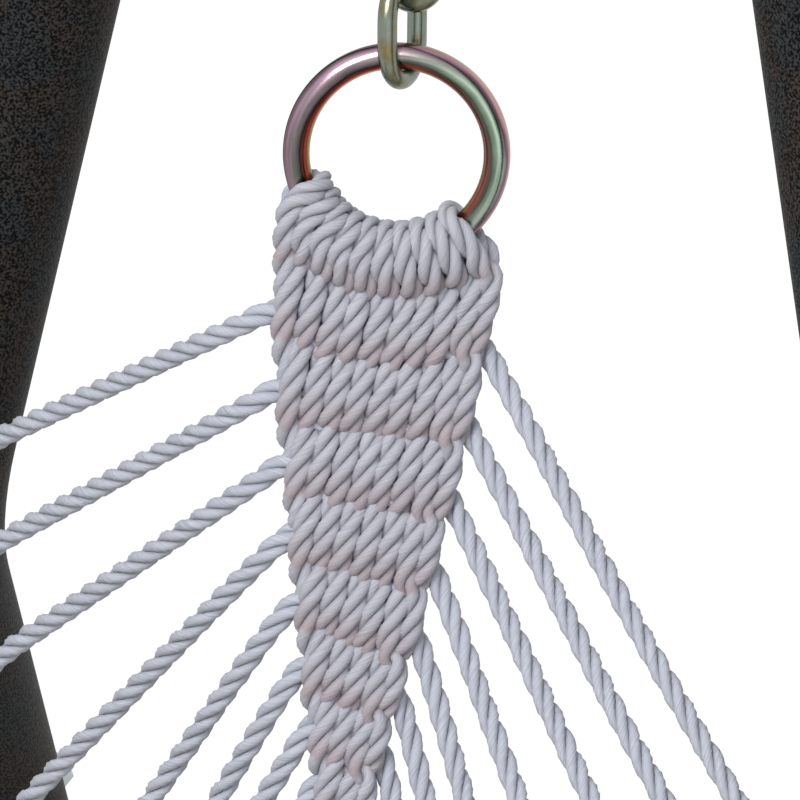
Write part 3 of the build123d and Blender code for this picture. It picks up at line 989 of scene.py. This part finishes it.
# Rope eyes and whippings
# At the hem each rope ends in a thinner spliced eye of the same cotton, which goes through the
# canvas and round the dowel. A whipping of waxed twine closes it.
hem_centre = Vector((0.91771, 0, 0.6004))
hem_uphill = Vector((math.cos(bed_end_slope), 0, math.sin(bed_end_slope)))
hem_normal = Vector((-math.sin(bed_end_slope), 0, math.cos(bed_end_slope)))
eye_reach = 0.0148
eye_throat = 0.042
eye_neck = 0.0022
eye_share = 0.62
twine_tint = "#cfc6b4"
thread_sides = 6
coil_steps = 18
eye_spots = [
    (eye_throat + 0.008, eye_neck),
    (eye_throat, eye_neck),
    (0.016, eye_reach),
    (-eye_reach, eye_reach),
]
eye_spots += [(t, -n) for t, n in eye_spots[::-1]]
eye_line = along([hem_centre + hem_uphill * t + hem_normal * n for t, n in eye_spots])
eye_mesh = strands("rope_eye", eye_line, np.full(len(eye_line), eye_share), strand_sides)
eye_mesh.materials.append(rope_cotton)
eye_sizes = {
    "Eye": bpy.data.objects.new("rope_eye", eye_mesh),
    "Turns": 9.0,
    "Radius": 0.0052,
    "Length": 0.012,
    "Twine": 0.0007,
}

# Waxed twine: thin cream thread, smooth and a little dull.
twine, _, shader = new_finish("waxed_twine")
shader.inputs["Base Color"].default_value = linear(twine_tint)
shader.inputs["Roughness"].default_value = 0.7

tree, given = new_tree("rope_eyes", eye_sizes)
eye_in = add(tree, "GeometryNodeObjectInfo", {"Object": given["Eye"]}).outputs["Geometry"]
coil = add(
    tree,
    "GeometryNodeCurveSpiral",
    {
        "Resolution": coil_steps,
        "Rotations": given["Turns"],
        "Start Radius": given["Radius"],
        "End Radius": given["Radius"],
        "Height": given["Length"],
    },
)
thread = add(
    tree,
    "GeometryNodeCurvePrimitiveCircle",
    {"Resolution": thread_sides, "Radius": given["Twine"]},
)
coil = add(
    tree,
    "GeometryNodeCurveToMesh",
    {"Curve": coil.outputs["Curve"], "Profile Curve": thread.outputs["Curve"]},
)
coil = add(tree, "GeometryNodeSetMaterial", {"Geometry": coil.outputs["Mesh"], "Material": twine})
coil = add(
    tree,
    "GeometryNodeTransform",
    {
        "Geometry": coil.outputs["Geometry"],
        "Translation": hem_centre + hem_uphill * (eye_throat - 0.004),
        "Rotation": (0, math.pi / 2 - bed_end_slope, 0),
    },
)
both = add(tree, "GeometryNodeJoinGeometry", {"Geometry": eye_in})
tree.links.new(coil.outputs["Geometry"], both.inputs["Geometry"])
placed = add(
    tree,
    "GeometryNodeInstanceOnPoints",
    {"Points": given["Geometry"], "Instance": both.outputs["Geometry"]},
)
# The eye and its whipping bring their own materials.
whole = add(tree, "GeometryNodeRealizeInstances", {"Geometry": placed.outputs["Instances"]})
add(tree, "NodeGroupOutput", {"Geometry": whole.outputs["Geometry"]})

eye_places = bpy.data.meshes.new("eye_places")
eye_places.from_pydata([(0, hole_step * (i - middle_leg), 0) for i in range(leg_count)], [], [])
made = grow(eye_places, tree, eye_sizes)
made.shade_smooth()
for end, eyes in at_both_ends("rope_eyes_{}", made):
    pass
bpy.data.objects.remove(eye_sizes["Eye"])

# Bed
# One sheet of heavy cotton canvas, turned round a dowel at each end and folded under along its
# sides, drawn in to a waist. Sewn with two rows of stitches at every hem.
sag = 0.170
bed_radius = (hem_centre.x**2 + sag**2) / (2 * sag)
bed_middle = hem_centre.z - sag + bed_radius
half_hem = 0.6395
waist = 0.110
waist_radius = (hem_centre.x**2 + waist**2) / (2 * waist)
sleeve_r = 0.0099
sleeve_start = 0.034
sleeve_steps = 18
sleeve_inset = 0.002
allowance = 0.020
allowance_steps = 2
allowance_inset = 0.003
cloth = 0.0011
fold = 0.018
fold_drop = 1.3 * cloth
allowance_drop = 2.3 * cloth
columns = 192
stations = 120
pull_reach = 0.15
pull_depth = 0.0040
# Creases: depth, how often they come along and across the bed, and their place in the noise.
creases = ((0.0055, 2.2, 8.0, 3.1), (0.0020, 7.0, 21.0, 8.4))
slack_depth = 0.005


def bed_half(x):
    """Half the width of the bed at a place along it."""
    reach = min(abs(x), hem_centre.x)
    return half_hem - waist + waist_radius - math.sqrt(waist_radius**2 - reach**2)


def bed_top(x, y):
    """Surface of the hanging sheet: its arc, pulls at the ropes, creases and a slack edge."""
    near_end = math.exp(-(hem_centre.x - abs(x)) / pull_reach)
    pull = -pull_depth * near_end * math.cos(2 * math.pi * y / hole_step)
    crease = sum(depth * noise.noise(Vector((x * u, y * v, w))) for depth, u, v, w in creases)
    slack = slack_depth * max(0, abs(y) / bed_half(x) - 0.9) * 10
    slack *= noise.noise(Vector((x * 4.0, 0.5 * y, 1.0)))
    arc = bed_middle - math.sqrt(bed_radius**2 - x * x)
    return Vector((x, y, arc + (pull + crease) * (1 - near_end * 0.3) + slack))


# Each row of the sheet has a place along the bed, and in the hems a spot on the turn round the
# dowel, uphill and off the sheet.
bed_end = hem_centre.x - sleeve_start * math.cos(bed_end_slope)
touch = math.acos(sleeve_r / sleeve_start)
sleeve = []
for i in range(sleeve_steps + 1):
    angle = math.pi - touch - (2 * math.pi - 2 * touch) * i / sleeve_steps
    sleeve.append((sleeve_r * math.cos(angle), sleeve_r * math.sin(angle)))
for i in range(allowance_steps + 1):
    sleeve.append((-sleeve_start - allowance * i / allowance_steps, -allowance_drop))
profile = [(-bed_end, spot) for spot in sleeve[::-1]]
profile += [(bed_end * (2 * i / stations - 1), None) for i in range(stations + 1)]
profile += [(bed_end, spot) for spot in sleeve]
verts = []
for x, spot in profile:
    way = 1 if x > 0 else -1
    flat_part = spot is None or spot[0] <= -sleeve_start
    if spot is None:
        half = bed_half(x)
    elif flat_part:
        half = bed_half(hem_centre.x + spot[0]) - allowance_inset
    else:
        half = half_hem - sleeve_inset
    for column in range(-1, columns + 2):
        under = column < 0 or column > columns
        y = half * (2 * min(max(column, 0), columns) / columns - 1)
        if under:
            y *= 1 - fold / half
        if spot is None:
            point = bed_top(x, y)
        elif flat_part:
            point = bed_top(way * (hem_centre.x + spot[0] * hem_uphill.x), y)
            point += Vector((way * hem_normal.x, 0, hem_normal.z)) * spot[1]
        else:
            point = hem_centre + hem_uphill * spot[0] + hem_normal * spot[1]
            point = Vector((way * point.x, y, point.z))
        if under:
            point.z -= fold_drop * (1 if flat_part else 0.2)
        verts.append(point)
row_length = columns + 3
faces = []
for i in range(len(profile) - 1):
    for j in range(row_length - 1):
        a = i * row_length + j
        faces.append((a, a + 1, a + row_length + 1, a + row_length))
sheet = bpy.data.meshes.new("bed_sheet")
sheet.from_pydata(verts, [], faces)

canvas_dull = "#cfc7b4"
canvas_pale = "#e4ddcc"
# Canvas threads are finer than this; they are drawn coarser so that the weave shows.
thread_pitch = 0.0016
# A wave texture of scale 1 has this distance between its bands.
wave_unit = 0.314
slub_scale = (8.0, 400.0, 8.0)

# Natural canvas: matt cream, a plain weave with thick and thin threads along the bed.
canvas, tree, shader = new_finish("natural_canvas")
place = add(tree, "ShaderNodeTexCoord").outputs["Object"]
threads = []
for direction in ("X", "Y"):
    wave = add(
        tree,
        "ShaderNodeTexWave",
        {"Vector": place, "Scale": wave_unit / thread_pitch},
        bands_direction=direction,
    )
    threads.append(wave.outputs["Fac"])
weave = add(tree, "ShaderNodeMath", {0: threads[0], 1: threads[1]}, operation="MULTIPLY")
slub_at = add(tree, "ShaderNodeMapping", {"Vector": place, "Scale": slub_scale})
slub = add(tree, "ShaderNodeTexNoise", {"Vector": slub_at.outputs[0], "Scale": 1.0, "Detail": 3.0})
canvas_tint = add(
    tree,
    "ShaderNodeMix",
    {0: slub.outputs["Fac"], 6: linear(canvas_dull), 7: linear(canvas_pale)},
    data_type="RGBA",
)
bump = add(
    tree,
    "ShaderNodeBump",
    {"Height": weave.outputs[0], "Strength": 0.4, "Distance": 0.0003},
)
tree.links.new(canvas_tint.outputs[2], shader.inputs["Base Color"])
tree.links.new(bump.outputs["Normal"], shader.inputs["Normal"])
shader.inputs["Roughness"].default_value = 0.95
shader.inputs["Sheen Weight"].default_value = 0.1
sheet.materials.append(canvas)

soft_sheet = show("bed_sheet", sheet)
thicken = soft_sheet.modifiers.new("cloth", "SOLIDIFY")
thicken.thickness = cloth
thicken.offset = 0
made = plain(soft_sheet)
made.shade_smooth()
bed = show("canvas_bed", made)

stitch_sizes = {"Pitch": 0.0045, "Length": 0.0017, "Width": 0.0004}
stitch_steps = 240
stitch_insets = (0.004, 0.014)
stitch_lift = 0.6 * cloth
side_share = 0.97
corner_gap = 0.008
bead_segments = 6
bead_rings = 4
shares = [2 * i / stitch_steps - 1 for i in range(stitch_steps + 1)]
stitch_lines = []
for side in (1, -1):
    for inset in stitch_insets:
        xs = [bed_end * side_share * share for share in shares]
        stitch_lines.append([(x, side * (bed_half(x) - inset)) for x in xs])
for side in (1, -1):
    for inset in stitch_insets:
        half = bed_half(bed_end) - corner_gap
        stitch_lines.append([(side * (bed_end - inset), half * share) for share in shares])
stitch_spots, stitch_edges = [], []
for line in stitch_lines:
    first = len(stitch_spots)
    for x, y in line:
        tilt = math.asin(x / bed_radius)
        off_sheet = Vector((-math.sin(tilt), 0, math.cos(tilt)))
        stitch_spots.append(bed_top(x, y) + off_sheet * stitch_lift)
    stitch_edges += [(first + i, first + i + 1) for i in range(len(line) - 1)]
stitch_guides = bpy.data.meshes.new("stitch_guides")
stitch_guides.from_pydata(stitch_spots, stitch_edges, [])

tree, given = new_tree("hem_stitches", stitch_sizes)
rows_in = add(tree, "GeometryNodeMeshToCurve", {"Mesh": given["Geometry"]})
spaced = add(
    tree,
    "GeometryNodeResampleCurve",
    {"Curve": rows_in.outputs["Curve"], 3: given["Pitch"]},
    mode="LENGTH",
)
tangent = add(tree, "GeometryNodeInputTangent").outputs[0]
aim = add(tree, "FunctionNodeAlignRotationToVector", {"Vector": tangent}, axis="X")
bead = add(
    tree,
    "GeometryNodeMeshUVSphere",
    {"Segments": bead_segments, "Rings": bead_rings, "Radius": 1.0},
)
bead_size = add(
    tree,
    "ShaderNodeCombineXYZ",
    {"X": given["Length"], "Y": given["Width"], "Z": given["Width"]},
)
placed = add(
    tree,
    "GeometryNodeInstanceOnPoints",
    {
        "Points": spaced.outputs["Curve"],
        "Instance": bead.outputs["Mesh"],
        "Rotation": aim.outputs["Rotation"],
        "Scale": bead_size.outputs[0],
    },
)
end_tree(tree, placed, twine)
made = grow(stitch_guides, tree, stitch_sizes)
made.shade_smooth()
stitches = show("hem_stitches", made)
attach(stitches, "hammock")
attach(bed, "hammock")
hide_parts("bed_canvas")

# Floor, light and camera
# A plain pale floor with a white surround, one broad soft lamp over the hammock and one fill. The
# camera faces the front ring and looks a little down on it, as in the photograph.
floor_half = 30.0
floor_tint = "#dcdcdc"
floor_shade = (0.25, 0.25, 0.25, 1)
white = (1, 1, 1, 1)
glow_from = 1.5
glow_to = 5.0
glow_near = 0.82
sky_level = 0.44
lamps = (
    ("soft_key", (0.6, -0.7, 3.6), (1.2, 0, 0.8), 1.4, 55),
    ("soft_fill", (-0.5, -3.2, 2.2), (1.0, 0, 0.7), 1.8, 5),
)


def seen_directly(tree):
    """Socket that is 1 for rays from the camera, off gloss and through glass."""
    rays = add(tree, "ShaderNodeLightPath").outputs
    either = add(
        tree,
        "ShaderNodeMath",
        {0: rays["Is Camera Ray"], 1: rays["Is Glossy Ray"]},
        operation="MAXIMUM",
    )
    direct = add(
        tree,
        "ShaderNodeMath",
        {0: either.outputs[0], 1: rays["Is Transmission Ray"]},
        operation="MAXIMUM",
    )
    return direct.outputs[0]


# Pale floor: seen directly it glows to white away from the stand and keeps the shadow.
pale_floor, tree, _ = new_finish("pale_floor")
tree.nodes.clear()
floor_plain = add(tree, "ShaderNodeBsdfDiffuse", {"Color": linear(floor_tint)})
floor_shaded = add(tree, "ShaderNodeBsdfDiffuse", {"Color": floor_shade})
ground = add(tree, "ShaderNodeTexCoord").outputs["Object"]
away = add(tree, "ShaderNodeVectorMath", {0: ground}, operation="LENGTH")
glow = add(
    tree,
    "ShaderNodeMapRange",
    {
        "Value": away.outputs["Value"],
        "From Min": glow_from,
        "From Max": glow_to,
        "To Min": glow_near,
        "To Max": 1.0,
    },
)
glowing = add(tree, "ShaderNodeEmission", {"Color": white, "Strength": glow.outputs["Result"]})
bright = add(tree, "ShaderNodeAddShader", {0: floor_shaded.outputs[0], 1: glowing.outputs[0]})
mixed = add(
    tree,
    "ShaderNodeMixShader",
    {0: seen_directly(tree), 1: floor_plain.outputs[0], 2: bright.outputs[0]},
)
add(tree, "ShaderNodeOutputMaterial", {"Surface": mixed.outputs[0]})
corners = [(floor_half * x, floor_half * y, 0) for x, y in ((-1, -1), (1, -1), (1, 1), (-1, 1))]
floor_mesh = bpy.data.meshes.new("floor")
floor_mesh.from_pydata(corners, [], [(0, 1, 2, 3)])
floor_mesh.materials.append(pale_floor)
show("floor", floor_mesh)

world = bpy.data.worlds.new("studio")
world.use_nodes = True
tree = world.node_tree
tree.nodes.clear()
dim = add(tree, "ShaderNodeBackground", {"Color": white, "Strength": sky_level})
backdrop = add(tree, "ShaderNodeBackground", {"Color": white, "Strength": 1.0})
mixed = add(
    tree,
    "ShaderNodeMixShader",
    {0: seen_directly(tree), 1: dim.outputs[0], 2: backdrop.outputs[0]},
)
add(tree, "ShaderNodeOutputWorld", {"Surface": mixed.outputs[0]})
bpy.context.scene.world = world
bpy.context.scene.view_settings.view_transform = "Standard"

for name, spot, target, size, power in lamps:
    lamp = bpy.data.lights.new(name, "AREA")
    lamp.energy = power
    lamp.size = size
    light = show(name, lamp)
    light.location = spot
    light.rotation_mode = "QUATERNION"
    light.rotation_quaternion = (Vector(target) - Vector(spot)).to_track_quat("-Z", "Y")

# The camera is placed so that the centre of the ring falls on its pixel in a frame of 800 by 800.
distance = 6.0
metres_per_pixel = 0.2588 * mm
turn_round = math.radians(42)
look_down = math.radians(14)
roll = math.radians(5)
frame_pixels = 800
ring_column = 396.6
ring_row = 153.5
sensor = 36
look = -rise * (math.cos(turn_round) * math.cos(look_down))
look += Vector((0, 1, 0)) * (math.sin(turn_round) * math.cos(look_down))
look -= up_chain * math.sin(look_down)
right = look.cross(up_chain).normalized()
upright = right.cross(look)
level = right * math.cos(roll) + upright * math.sin(roll)
upright = upright * math.cos(roll) - right * math.sin(roll)
camera = show("camera", bpy.data.cameras.new("camera"))
camera.data.sensor_width = sensor
camera.data.lens = sensor * distance / metres_per_pixel / frame_pixels
stand_at = ring_centre - look * distance
stand_at -= level * ((ring_column - frame_pixels / 2) * metres_per_pixel)
stand_at -= upright * ((frame_pixels / 2 - ring_row) * metres_per_pixel)
pose = Matrix((level, upright, -look)).transposed().to_4x4()
pose.translation = stand_at
camera.matrix_world = pose
bpy.context.scene.camera = camera
